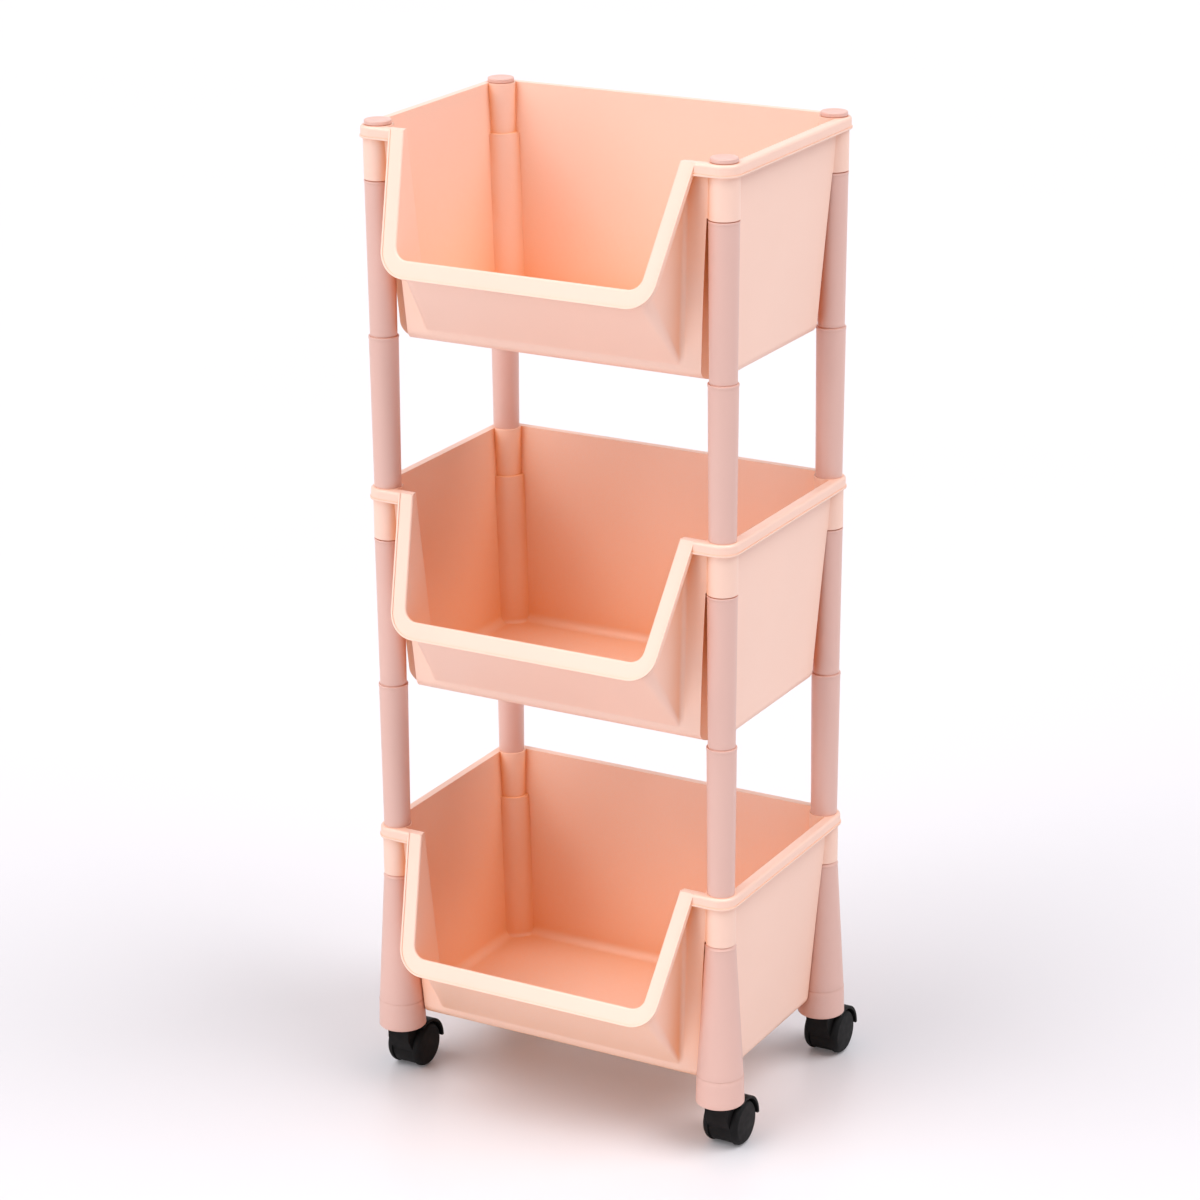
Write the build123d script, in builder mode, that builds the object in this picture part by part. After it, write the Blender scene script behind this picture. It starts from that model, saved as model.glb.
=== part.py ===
from build123d import *
import os
from math import cos, hypot, radians, sin, tan

os.makedirs("parts", exist_ok=True)

# The cart stands on the floor at z = 0, its open fronts face -Y, and X runs across it.
# Overall sizes and the grid of its four poles
POLE_SPACING_X = 317.0
POLE_SPACING_Y = 198.0
HEIGHT = 860.0
TIER_STEP = 309.0
TIER_NAMES = ("top", "middle", "bottom")

# The bins, measured down from the top of the rim, which is at height 0 of each bin
BIN_DEPTH = 180.0
WALL = 2.0
DRAFT_ANGLE = 3.63
WALL_OUTSIDE_POLES = 8.0
BOTTOM_EDGE_RADIUS = 10.0

# The turned-down rim
RIM_OUTSIDE_POLES = 14.5
RIM_SKIRT = 10.0
RIM_PLATE = 2.2
RIM_EDGE_RADIUS = 2.4
RIM_INNER_RADIUS = 1.2
RIM_LIP_OUT = 0.8
RIM_LIP_HEIGHT = 1.6

# The sleeves at the corners, and the channels below them that make room for the poles
SLEEVE_RADIUS = 12.7
SLEEVE_LENGTH = 45.0
BORE_RADIUS = 10.1
CHANNEL_RADIUS = 13.6
CHANNEL_FOOT_RADIUS = 1.0
COLUMN_FOOT_RADIUS = 4.0
FOOT_DIP = 0.3

# The scooped opening: its front face lies in a plane that leans forward going down
OPENING_LEAN_ANGLE = 23.1
OPENING_TOP_Y = 111.8
OPENING_HALF_WIDTH = 126.0
OPENING_SIDE_SLOPE = 0.14
OPENING_LENGTH = 104.4
OPENING_CORNER_RADIUS = 12.0
OPENING_BEYOND_TOP = 40.0

# The flat flange round the scooped opening
FLANGE_SIDE_WIDTH = 13.7
FLANGE_FRONT_WIDTH = 15.7
FLANGE_CORNER_RADIUS = 25.0
FLANGE_THICKNESS = 2.2
FLANGE_EDGE_RADIUS = 1.6
FLANGE_CLEAR_FRONT = 20.0
FLANGE_CLEAR_ABOVE = 58.0
FLANGE_LIP_WIDTH = 1.6
FLANGE_LIP_OUT = 0.7
FLANGE_LIP_BACK = 4.5

# The foot of the spout, where its front panel and its two side facets meet the front wall
SPOUT_FOOT_X = 119.0
SPOUT_FOOT_HEIGHT = 10.5
SPOUT_FOOT_Y = 96.0
SPOUT_ROOT_DROP = 1.5
SPOUT_ROOT_BACK_Y = 80.0
SPOUT_CREASE_RADIUS = 1.0
SPOUT_BLEND_RADIUS = 4.0

# Pole tubes: a tapered body with a lip and a socket on top, and a hollow spigot below
TUBE_LENGTH = 132.0
TUBE_HEAD_RADIUS = 12.5
TUBE_FOOT_RADIUS = 11.5
TUBE_LIP_RADIUS = 12.8
TUBE_LIP_HEIGHT = 3.0
TUBE_LIP_ROUND = 0.4
SPIGOT_RADIUS = 10.0
SPIGOT_LENGTH = 58.0
SPIGOT_CHAMFER = 0.8
SOCKET_DEPTH = 62.0
TUBE_BORE_RADIUS = 8.5

# Plug caps in the sleeves of the top bin
CAP_RADIUS = 11.4
CAP_HEIGHT = 4.0
CAP_EDGE_RADIUS = 1.2
CAP_SEAM_HEIGHT = 0.6
CAP_SEAM_DEPTH = 0.7

# Flared legs
LEG_BOTTOM = 46.0
LEG_LIP_RADIUS = 13.3
LEG_LIP_HEIGHT = 3.0
LEG_HEAD_RADIUS = 12.9
LEG_GROOVE_RADIUS = 19.9
LEG_BAND_RADIUS = 20.2
LEG_BOTTOM_RADIUS = 20.8
LEG_GROOVE_HEIGHT = 71.5
LEG_GROOVE_WIDTH = 1.0
LEG_GROOVE_DEPTH = 0.5
LEG_EDGE = 0.6
LEG_WALL = 2.2
LEG_SOCKET_DEPTH = 30.0
LEG_WEB = 4.0
LEG_BOSS_RADIUS = 8.0
LEG_BOSS_RECESS = 1.5
LEG_RIB_THICKNESS = 1.8
LEG_RIB_BOTTOM = 60.0

# Castor stems, fixed in the legs; heights are above the floor
STEM_RADIUS = 4.0
STEM_BOTTOM = 27.0
STEM_TOP = 86.0
STEM_CHAMFER = 0.6
STEM_COLLAR_RADIUS = 6.5
STEM_GROOVE_DEPTH = 0.6
STEM_GROOVE_WIDTH = 2.0
STEM_LOWER_GROOVE = 33.0
STEM_UPPER_GROOVE = 78.0
FIXED_CLEARANCE = 0.02
RUNNING_CLEARANCE = 0.05

# Castor bodies, with the axle behind the stem and the wheels at both ends of it
WHEEL_RADIUS = 20.0
CASTOR_TRAIL = 17.5
CASTOR_WIDTH = 33.6
CASTOR_TOP_GAP = 0.4
CORE_HALF_WIDTH = 10.4
CORE_RADIUS = 19.0
CORE_BOTTOM = 3.0
HOUSING_FRONT = 8.5
HOUSING_KNEE_HEIGHT = 33.0
HOUSING_BACK = 10.0
HOOD_RADIUS = 24.0
HOOD_INNER_RADIUS = 21.4
HOOD_BACK_ANGLE = 0.0
HOOD_FRONT_ANGLE = 116.0

# Castor wheels: a tread and a domed outer face, hollow behind, with a hub for the axle
WHEEL_GAP = 0.3
WHEEL_TREAD_END = 13.8
WHEEL_FACE_RADIUS = 17.2
WHEEL_FACE_X = 16.4
WHEEL_ROUND_RADIUS = 3.4
WHEEL_FLAT_RADIUS = 8.0
WHEEL_HUB_RADIUS = 5.0
WHEEL_RIM_INNER_RADIUS = 17.6
WHEEL_WEB_X = 13.9
AXLE_RADIUS = 2.5
AXLE_HALF_LENGTH = 14.4
AXLE_END_GAP = 0.3
AXLE_CHAMFER = 0.4

# Values that follow from the sizes above
half_x = POLE_SPACING_X / 2
half_y = POLE_SPACING_Y / 2
rim_top = HEIGHT - CAP_HEIGHT
rim_heights = [rim_top - tier * TIER_STEP for tier in range(len(TIER_NAMES))]
draft = tan(radians(DRAFT_ANGLE))
lean_sin = sin(radians(OPENING_LEAN_ANGLE))
lean_cos = cos(radians(OPENING_LEAN_ANGLE))
foot_z = SPOUT_FOOT_HEIGHT - BIN_DEPTH
castor_half = CASTOR_WIDTH / 2
castor_top = LEG_BOTTOM - CASTOR_TOP_GAP
leg_top = rim_heights[-1] - SLEEVE_LENGTH

# The lower and upper tubes between two bins stand on the rim below and on each other
tube_heights = []
for rim_height in rim_heights[1:]:
    tube_heights += [rim_height + TUBE_LENGTH, rim_height]

# The poles stand behind the middle of the cart, so that its whole outline is centred on the origin
front_reach = OPENING_TOP_Y + lean_sin * (OPENING_LENGTH + FLANGE_FRONT_WIDTH) + lean_cos * FLANGE_LIP_OUT
back_reach = half_y + CASTOR_TRAIL + HOOD_RADIUS
pole_offset_y = (front_reach - back_reach) / 2

CORNERS = {
    "front_left": (-half_x, -half_y),
    "front_right": (half_x, -half_y),
    "back_left": (-half_x, half_y),
    "back_right": (half_x, half_y),
}
pole_points = list(CORNERS.values())
opening_plane = Plane(
    origin=(0, -OPENING_TOP_Y, 0), x_dir=(1, 0, 0), z_dir=(0, -lean_cos, lean_sin)
)


def save(shape, name, x=0.0, y=0.0, z=0.0):
    """Place a finished piece in the cart, label it and write it to its own file."""
    with BuildPart() as piece:
        with Locations((x, y + pole_offset_y, z)):
            add(shape)
    piece.part.label = name
    export_step(piece.part, f"parts/{name}.step")


def opening_point(across, along):
    """A point of the opening plane, as a vector in the frame of the bin."""
    return opening_plane.from_local_coords(Vector(across, along, 0))


def facet_x(y, z, outward):
    """Half-width of the spout at a point of its side facet, which is one plane on each side."""
    foot = Vector(SPOUT_FOOT_X, -SPOUT_FOOT_Y, foot_z)
    upper = opening_point(OPENING_HALF_WIDTH + WALL, 0)
    lower_half = OPENING_HALF_WIDTH + WALL - OPENING_SIDE_SLOPE * OPENING_LENGTH
    lower = opening_point(lower_half, -OPENING_LENGTH)
    normal = (upper - foot).cross(lower - foot)
    return foot.X - (normal.Y * (y - foot.Y) + normal.Z * (z - foot.Z)) / normal.X + outward - WALL


def panel_y(z, outward):
    """How far forward the leaning front panel of the spout stands at a height."""
    top = opening_point(0, -OPENING_LENGTH - WALL)
    slope = (top.Y + SPOUT_FOOT_Y) / (top.Z - foot_z)
    across_wall = hypot(1, slope)
    return -SPOUT_FOOT_Y + slope * (z - foot_z) + (WALL - outward) * across_wall


def opening_corners(outward, bottom_outward):
    """Corner points of the opening's outline in its own plane, moved outward by a width."""
    low = -OPENING_LENGTH - bottom_outward
    half_low = OPENING_HALF_WIDTH + outward + OPENING_SIDE_SLOPE * low
    half_high = OPENING_HALF_WIDTH + outward + OPENING_SIDE_SLOPE * OPENING_BEYOND_TOP
    return [
        (-half_high, OPENING_BEYOND_TOP),
        (-half_low, low),
        (half_low, low),
        (half_high, OPENING_BEYOND_TOP),
    ]


def root_corners(outward):
    """Corner points of the level section at the root of the spout, inside the front wall."""
    z = foot_z - SPOUT_ROOT_DROP + WALL - outward
    front = panel_y(z, outward)
    front_half = facet_x(front, z, outward)
    back_half = facet_x(-SPOUT_ROOT_BACK_Y, z, outward)
    corners = [
        (-back_half, -SPOUT_ROOT_BACK_Y),
        (-front_half, front),
        (front_half, front),
        (back_half, -SPOUT_ROOT_BACK_Y),
    ]
    return corners, z


def make_spout(outward):
    """Solid of the spout, from its root up to the plane of the opening and on above the rim."""
    corners, root_z = root_corners(outward)
    with BuildPart() as spout:
        with BuildSketch(Plane.XY.offset(root_z)):
            with BuildLine():
                FilletPolyline(*corners, radius=SPOUT_CREASE_RADIUS + outward)
                Line(corners[-1], corners[0])
            make_face()
        with BuildSketch(opening_plane):
            upper = opening_corners(outward, outward)
            with BuildLine():
                FilletPolyline(*upper, radius=OPENING_CORNER_RADIUS + outward)
                Line(upper[-1], upper[0])
            make_face()
        loft(ruled=True)
    return spout.part


def make_drafted_box(wall_outside, depth, edge_radius):
    """Box that narrows downwards with the draft of the bin, with its bottom edges rounded."""
    with BuildPart() as box:
        with BuildSketch(Plane.XY):
            Rectangle(2 * (half_x + wall_outside), 2 * (half_y + wall_outside))
        extrude(amount=-depth, taper=DRAFT_ANGLE)
        fillet(box.faces().sort_by(Axis.Z)[0].edges(), radius=edge_radius)
    return box.part


def make_channel(top, radius, floor, foot_radius):
    """Drafted round channel that a pole stands in, flaring out at its foot."""
    foot = -floor - FOOT_DIP
    foot_side = radius - draft * (foot + top)
    reach = foot_side + 2 * foot_radius
    with BuildPart() as channel:
        with BuildSketch(Plane.XZ):
            with BuildLine():
                FilletPolyline(
                    (radius, -top),
                    (foot_side, foot),
                    (reach, foot),
                    radius=foot_radius,
                )
                Polyline((reach, foot), (reach, foot - foot_radius), (0, foot - foot_radius))
                Polyline((0, foot - foot_radius), (0, -top), (radius, -top))
            make_face()
        revolve(axis=Axis.Z)
    return channel.part


def make_rim():
    """Turned-down rim round the top of a bin, open where the scoop is."""
    outer_x = 2 * (half_x + RIM_OUTSIDE_POLES)
    outer_y = 2 * (half_y + RIM_OUTSIDE_POLES)
    inner_x = 2 * (half_x + WALL_OUTSIDE_POLES - WALL)
    inner_y = 2 * (half_y + WALL_OUTSIDE_POLES - WALL)
    with BuildPart() as rim:
        with BuildSketch(Plane.XY):
            RectangleRounded(outer_x, outer_y, RIM_OUTSIDE_POLES)
            Rectangle(inner_x, inner_y, mode=Mode.SUBTRACT)
        extrude(amount=-RIM_PLATE)
        with BuildSketch(Plane.XY):
            RectangleRounded(outer_x, outer_y, RIM_OUTSIDE_POLES)
            inside = RIM_OUTSIDE_POLES - WALL
            RectangleRounded(outer_x - 2 * WALL, outer_y - 2 * WALL, inside, mode=Mode.SUBTRACT)
        extrude(amount=-RIM_SKIRT)
        top_face = rim.faces().sort_by(Axis.Z)[-1]
        fillet(top_face.outer_wire().edges(), radius=RIM_EDGE_RADIUS)
        top_face = rim.faces().sort_by(Axis.Z)[-1]
        fillet(top_face.inner_wires().edges(), radius=RIM_INNER_RADIUS)
        with BuildSketch(Plane.XY.offset(-RIM_SKIRT)):
            lip_radius = RIM_OUTSIDE_POLES + RIM_LIP_OUT
            RectangleRounded(outer_x + 2 * RIM_LIP_OUT, outer_y + 2 * RIM_LIP_OUT, lip_radius)
            RectangleRounded(outer_x - 2 * WALL, outer_y - 2 * WALL, inside, mode=Mode.SUBTRACT)
        extrude(amount=RIM_LIP_HEIGHT)
    return rim.part


def on_inner_edge(edge):
    """Whether an edge of the flange lies in the opening plane, along the opening itself."""
    point = opening_plane.to_local_coords(edge.center())
    side = OPENING_HALF_WIDTH + OPENING_SIDE_SLOPE * point.Y + WALL
    inside = abs(point.X) < side and point.Y > -OPENING_LENGTH - WALL
    return abs(point.Z) < WALL / 10 and inside and point.Y < OPENING_BEYOND_TOP - WALL


def make_flange():
    """Flat flange round the scooped opening, with a raised lip along its outer edge."""
    inner = opening_corners(0, 0)
    outer = opening_corners(FLANGE_SIDE_WIDTH, FLANGE_FRONT_WIDTH)
    inset = FLANGE_LIP_WIDTH
    lip_inner = opening_corners(FLANGE_SIDE_WIDTH - inset, FLANGE_FRONT_WIDTH - inset)
    with BuildPart() as flange:
        with BuildSketch(opening_plane):
            with BuildLine():
                FilletPolyline(*outer, radius=FLANGE_CORNER_RADIUS)
                Line(outer[-1], outer[0])
            make_face()
            with BuildLine():
                FilletPolyline(*inner, radius=OPENING_CORNER_RADIUS)
                Line(inner[-1], inner[0])
            make_face(mode=Mode.SUBTRACT)
        extrude(amount=-FLANGE_THICKNESS)
        fillet([e for e in flange.edges() if on_inner_edge(e)], radius=FLANGE_EDGE_RADIUS)
        with BuildSketch(opening_plane.offset(FLANGE_LIP_OUT)):
            with BuildLine():
                FilletPolyline(*outer, radius=FLANGE_CORNER_RADIUS)
                Line(outer[-1], outer[0])
            make_face()
            with BuildLine():
                FilletPolyline(*lip_inner, radius=FLANGE_CORNER_RADIUS - inset)
                Line(lip_inner[-1], lip_inner[0])
            make_face(mode=Mode.SUBTRACT)
        extrude(amount=-FLANGE_LIP_BACK)
        split(bisect_by=Plane.XY, keep=Keep.BOTTOM)
    return flange.part


def make_cavity():
    """Everything inside a bin: its drafted inside, the inside of the spout and the opening."""
    inner_edge_radius = BOTTOM_EDGE_RADIUS - WALL
    inside = make_drafted_box(WALL_OUTSIDE_POLES - WALL, BIN_DEPTH - WALL, inner_edge_radius)
    channel = make_channel(
        SLEEVE_LENGTH - WALL, CHANNEL_RADIUS + WALL, BIN_DEPTH - WALL, COLUMN_FOOT_RADIUS
    )
    spout = make_spout(0.0)
    with BuildPart() as cavity:
        add(inside)
        with Locations(*[(x, y, 0) for x, y in pole_points]):
            add(channel, mode=Mode.SUBTRACT)
        add(spout)
        with BuildSketch(opening_plane):
            inner = opening_corners(0, 0)
            with BuildLine():
                FilletPolyline(*inner, radius=OPENING_CORNER_RADIUS)
                Line(inner[-1], inner[0])
            make_face()
        extrude(amount=FLANGE_CLEAR_ABOVE)
        with BuildSketch(Plane.XY):
            Rectangle(
                2 * (half_x + WALL_OUTSIDE_POLES - WALL), 2 * (half_y + WALL_OUTSIDE_POLES - WALL)
            )
        extrude(amount=RIM_SKIRT)
    return cavity.part


def is_valley(edge):
    """Whether an edge is one where the spout meets the front wall of its bin."""
    point = edge.center()
    on_wall = abs(point.Y + half_y + WALL_OUTSIDE_POLES + draft * point.Z) < WALL / 4
    beside_spout = abs(point.X) < OPENING_HALF_WIDTH + WALL
    return on_wall and beside_spout and foot_z - WALL / 4 < point.Z < -RIM_SKIRT


def make_bin():
    """One open-fronted bin with its spout, rim, flange, sleeves and channels."""
    channel = make_channel(SLEEVE_LENGTH, CHANNEL_RADIUS, BIN_DEPTH, CHANNEL_FOOT_RADIUS)
    cavity = make_cavity()
    with BuildPart() as bin_shell:
        add(make_drafted_box(WALL_OUTSIDE_POLES, BIN_DEPTH, BOTTOM_EDGE_RADIUS))
        add(make_spout(WALL))
        split(bisect_by=Plane.XY, keep=Keep.BOTTOM)
        fillet([e for e in bin_shell.edges() if is_valley(e)], radius=SPOUT_BLEND_RADIUS)
        with Locations(*[(x, y, 0) for x, y in pole_points]):
            add(channel, mode=Mode.SUBTRACT)
        add(make_rim())
        add(cavity, mode=Mode.SUBTRACT)
        with BuildSketch(opening_plane.offset(-FLANGE_THICKNESS)):
            outer = opening_corners(FLANGE_SIDE_WIDTH, FLANGE_FRONT_WIDTH)
            with BuildLine():
                FilletPolyline(*outer, radius=FLANGE_CORNER_RADIUS)
                Line(outer[-1], outer[0])
            make_face()
        extrude(amount=FLANGE_CLEAR_FRONT, mode=Mode.SUBTRACT)
        add(make_flange())
        with BuildSketch(Plane.XY):
            with Locations(*pole_points):
                Circle(SLEEVE_RADIUS)
        extrude(amount=-SLEEVE_LENGTH)
        with BuildSketch(Plane.XY):
            with Locations(*pole_points):
                Circle(BORE_RADIUS)
        extrude(amount=-SLEEVE_LENGTH, mode=Mode.SUBTRACT)
    return bin_shell.part


def turned(*points):
    """Solid turned about the Z axis from a closed outline of (radius, height) points."""
    with BuildPart() as solid:
        with BuildSketch(Plane.XZ):
            with BuildLine():
                Polyline(*points, close=True)
            make_face()
        revolve(axis=Axis.Z)
    return solid.part


def make_tube():
    """Tapered pole tube, with its shoulder at height 0, a socket above and a spigot below."""
    lip_bottom = TUBE_LENGTH - TUBE_LIP_HEIGHT
    with BuildPart() as tube:
        add(turned(
            (0, 0),
            (TUBE_FOOT_RADIUS, 0),
            (TUBE_HEAD_RADIUS, lip_bottom),
            (TUBE_LIP_RADIUS, lip_bottom),
            (TUBE_LIP_RADIUS, TUBE_LENGTH),
            (0, TUBE_LENGTH),
        ))
        fillet(tube.faces().sort_by(Axis.Z)[-1].edges(), radius=TUBE_LIP_ROUND)
        add(turned(
            (0, 0),
            (0, -SPIGOT_LENGTH),
            (SPIGOT_RADIUS - SPIGOT_CHAMFER, -SPIGOT_LENGTH),
            (SPIGOT_RADIUS, SPIGOT_CHAMFER - SPIGOT_LENGTH),
            (SPIGOT_RADIUS, 0),
        ))
        with BuildSketch(Plane.XY.offset(TUBE_LENGTH)):
            Circle(BORE_RADIUS)
        extrude(amount=-SOCKET_DEPTH, mode=Mode.SUBTRACT)
        with BuildSketch(Plane.XY.offset(-SPIGOT_LENGTH)):
            Circle(TUBE_BORE_RADIUS)
        extrude(amount=SPIGOT_LENGTH + TUBE_LENGTH - SOCKET_DEPTH, mode=Mode.SUBTRACT)
    return tube.part


def make_cap():
    """Plug cap with a rounded disc above height 0 and a hollow stem below it."""
    seam_radius = CAP_RADIUS - CAP_SEAM_DEPTH
    with BuildPart() as cap:
        add(turned(
            (0, 0),
            (seam_radius, 0),
            (seam_radius, CAP_SEAM_HEIGHT),
            (CAP_RADIUS, CAP_SEAM_HEIGHT),
            (CAP_RADIUS, CAP_HEIGHT),
            (0, CAP_HEIGHT),
        ))
        fillet(cap.faces().sort_by(Axis.Z)[-1].edges(), radius=CAP_EDGE_RADIUS)
        add(turned(
            (0, 0),
            (SPIGOT_RADIUS, 0),
            (SPIGOT_RADIUS, SPIGOT_CHAMFER - SPIGOT_LENGTH),
            (SPIGOT_RADIUS - SPIGOT_CHAMFER, -SPIGOT_LENGTH),
            (0, -SPIGOT_LENGTH),
        ))
        with BuildSketch(Plane.XY.offset(-SPIGOT_LENGTH)):
            Circle(TUBE_BORE_RADIUS)
        extrude(amount=SPIGOT_LENGTH, mode=Mode.SUBTRACT)
    return cap.part


def make_stem():
    """Steel castor stem with a collar under the leg and a groove near each end."""
    groove = STEM_RADIUS - STEM_GROOVE_DEPTH
    half_groove = STEM_GROOVE_WIDTH / 2
    return turned(
        (0, STEM_BOTTOM),
        (STEM_RADIUS - STEM_CHAMFER, STEM_BOTTOM),
        (STEM_RADIUS, STEM_BOTTOM + STEM_CHAMFER),
        (STEM_RADIUS, STEM_LOWER_GROOVE - half_groove),
        (groove, STEM_LOWER_GROOVE - half_groove),
        (groove, STEM_LOWER_GROOVE + half_groove),
        (STEM_RADIUS, STEM_LOWER_GROOVE + half_groove),
        (STEM_RADIUS, castor_top + RUNNING_CLEARANCE),
        (STEM_COLLAR_RADIUS, castor_top + RUNNING_CLEARANCE),
        (STEM_COLLAR_RADIUS, LEG_BOTTOM + LEG_BOSS_RECESS),
        (STEM_RADIUS, LEG_BOTTOM + LEG_BOSS_RECESS),
        (STEM_RADIUS, STEM_UPPER_GROOVE - half_groove),
        (groove, STEM_UPPER_GROOVE - half_groove),
        (groove, STEM_UPPER_GROOVE + half_groove),
        (STEM_RADIUS, STEM_UPPER_GROOVE + half_groove),
        (STEM_RADIUS, STEM_TOP - STEM_CHAMFER),
        (STEM_RADIUS - STEM_CHAMFER, STEM_TOP),
        (0, STEM_TOP),
    )


def make_stem_hole(clearance, groove_height, bottom, top):
    """Cutter for the hole round a castor stem, leaving a ridge that sits in the stem's groove."""
    ridge = STEM_RADIUS - STEM_GROOVE_DEPTH + clearance
    half_ridge = STEM_GROOVE_WIDTH / 2 - clearance
    wall = STEM_RADIUS + clearance
    return turned(
        (0, bottom),
        (wall, bottom),
        (wall, groove_height - half_ridge),
        (ridge, groove_height - half_ridge),
        (ridge, groove_height + half_ridge),
        (wall, groove_height + half_ridge),
        (wall, top),
        (0, top),
    )


def make_leg():
    """Flared leg with a socket on top, hollow below with a ribbed boss for the castor stem."""
    socket_bottom = leg_top - LEG_SOCKET_DEPTH
    web_bottom = socket_bottom - LEG_WEB
    head_bottom = leg_top - LEG_LIP_HEIGHT
    half_groove = LEG_GROOVE_WIDTH / 2
    cone = (LEG_GROOVE_RADIUS - LEG_HEAD_RADIUS) / (head_bottom - LEG_GROOVE_HEIGHT)
    web_radius = LEG_HEAD_RADIUS + cone * (head_bottom - web_bottom)
    outline = (
        (0, LEG_BOTTOM),
        (LEG_BOTTOM_RADIUS - LEG_EDGE, LEG_BOTTOM),
        (LEG_BOTTOM_RADIUS, LEG_BOTTOM + LEG_EDGE),
        (LEG_BAND_RADIUS, LEG_GROOVE_HEIGHT - half_groove),
        (LEG_GROOVE_RADIUS - LEG_GROOVE_DEPTH, LEG_GROOVE_HEIGHT),
        (LEG_GROOVE_RADIUS, LEG_GROOVE_HEIGHT + half_groove),
        (LEG_HEAD_RADIUS, head_bottom),
        (LEG_LIP_RADIUS, head_bottom),
        (LEG_LIP_RADIUS, leg_top),
        (0, leg_top),
    )
    with BuildPart() as hollow:
        add(turned(
            (0, LEG_BOTTOM),
            (LEG_BOTTOM_RADIUS - LEG_WALL, LEG_BOTTOM),
            (LEG_GROOVE_RADIUS - LEG_WALL, LEG_GROOVE_HEIGHT),
            (web_radius - LEG_WALL, web_bottom),
            (0, web_bottom),
        ))
        with BuildSketch(Plane.XY.offset(LEG_RIB_BOTTOM)):
            Rectangle(2 * LEG_BOTTOM_RADIUS, LEG_RIB_THICKNESS)
            Rectangle(LEG_RIB_THICKNESS, 2 * LEG_BOTTOM_RADIUS)
        extrude(amount=leg_top - LEG_RIB_BOTTOM, mode=Mode.SUBTRACT)
        with BuildSketch(Plane.XY.offset(LEG_BOTTOM + LEG_BOSS_RECESS)):
            Circle(LEG_BOSS_RADIUS)
        extrude(amount=leg_top - LEG_BOTTOM, mode=Mode.SUBTRACT)
    with BuildPart() as leg:
        add(turned(*outline))
        fillet(leg.faces().sort_by(Axis.Z)[-1].edges(), radius=TUBE_LIP_ROUND)
        add(hollow.part, mode=Mode.SUBTRACT)
        with BuildSketch(Plane.XY.offset(leg_top)):
            Circle(BORE_RADIUS)
        extrude(amount=-LEG_SOCKET_DEPTH, mode=Mode.SUBTRACT)
        hole = make_stem_hole(FIXED_CLEARANCE, STEM_UPPER_GROOVE, LEG_BOTTOM, STEM_TOP)
        add(hole, mode=Mode.SUBTRACT)
    return leg.part


def make_castor_body():
    """Castor body: a drum between the wheels, a housing for the stem and a hood over the wheels."""
    hood_sweep = HOOD_FRONT_ANGLE - HOOD_BACK_ANGLE
    with BuildPart() as body:
        with BuildSketch(Plane.YZ):
            with Locations((CASTOR_TRAIL, WHEEL_RADIUS)):
                Circle(CORE_RADIUS)
            with BuildLine():
                Polyline(
                    (CASTOR_TRAIL, WHEEL_RADIUS),
                    (CASTOR_TRAIL - CORE_RADIUS, WHEEL_RADIUS),
                    (-HOUSING_FRONT, HOUSING_KNEE_HEIGHT),
                    (-HOUSING_FRONT, castor_top),
                    (HOUSING_BACK, castor_top),
                    (CASTOR_TRAIL, WHEEL_RADIUS + HOOD_INNER_RADIUS),
                    close=True,
                )
            make_face()
            with BuildLine():
                CenterArc((CASTOR_TRAIL, WHEEL_RADIUS), HOOD_RADIUS, HOOD_BACK_ANGLE, hood_sweep)
                ends = hood_ends(HOOD_RADIUS)
                Polyline(ends[1], (CASTOR_TRAIL, WHEEL_RADIUS), ends[0])
            make_face()
        extrude(amount=CORE_HALF_WIDTH, both=True)
        with BuildSketch(Plane.YZ):
            with BuildLine():
                CenterArc((CASTOR_TRAIL, WHEEL_RADIUS), HOOD_RADIUS, HOOD_BACK_ANGLE, hood_sweep)
                CenterArc(
                    (CASTOR_TRAIL, WHEEL_RADIUS), HOOD_INNER_RADIUS, HOOD_BACK_ANGLE, hood_sweep
                )
                Line(hood_ends(HOOD_RADIUS)[0], hood_ends(HOOD_INNER_RADIUS)[0])
                Line(hood_ends(HOOD_RADIUS)[1], hood_ends(HOOD_INNER_RADIUS)[1])
            make_face()
        extrude(amount=castor_half, both=True)
        with Locations((0, CASTOR_TRAIL, CORE_BOTTOM)):
            Box(
                2 * CASTOR_WIDTH, 4 * WHEEL_RADIUS, WHEEL_RADIUS,
                align=(Align.CENTER, Align.CENTER, Align.MAX), mode=Mode.SUBTRACT,
            )
        hole = make_stem_hole(RUNNING_CLEARANCE, STEM_LOWER_GROOVE, STEM_BOTTOM, castor_top)
        add(hole, mode=Mode.SUBTRACT)
        with Locations(Location((0, CASTOR_TRAIL, WHEEL_RADIUS), (0, 90, 0))):
            Cylinder(AXLE_RADIUS + FIXED_CLEARANCE, 2 * CASTOR_WIDTH, mode=Mode.SUBTRACT)
    return body.part


def hood_ends(radius):
    """The two ends of an arc of the hood, as points across the side view of the castor."""
    ends = []
    for angle in (HOOD_BACK_ANGLE, HOOD_FRONT_ANGLE):
        along = CASTOR_TRAIL + radius * cos(radians(angle))
        up = WHEEL_RADIUS + radius * sin(radians(angle))
        ends.append((along, up))
    return ends


def make_axle():
    """Steel axle along Z, with a small chamfer at both ends."""
    return turned(
        (0, -AXLE_HALF_LENGTH),
        (AXLE_RADIUS - AXLE_CHAMFER, -AXLE_HALF_LENGTH),
        (AXLE_RADIUS, AXLE_CHAMFER - AXLE_HALF_LENGTH),
        (AXLE_RADIUS, AXLE_HALF_LENGTH - AXLE_CHAMFER),
        (AXLE_RADIUS - AXLE_CHAMFER, AXLE_HALF_LENGTH),
        (0, AXLE_HALF_LENGTH),
    )


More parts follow.
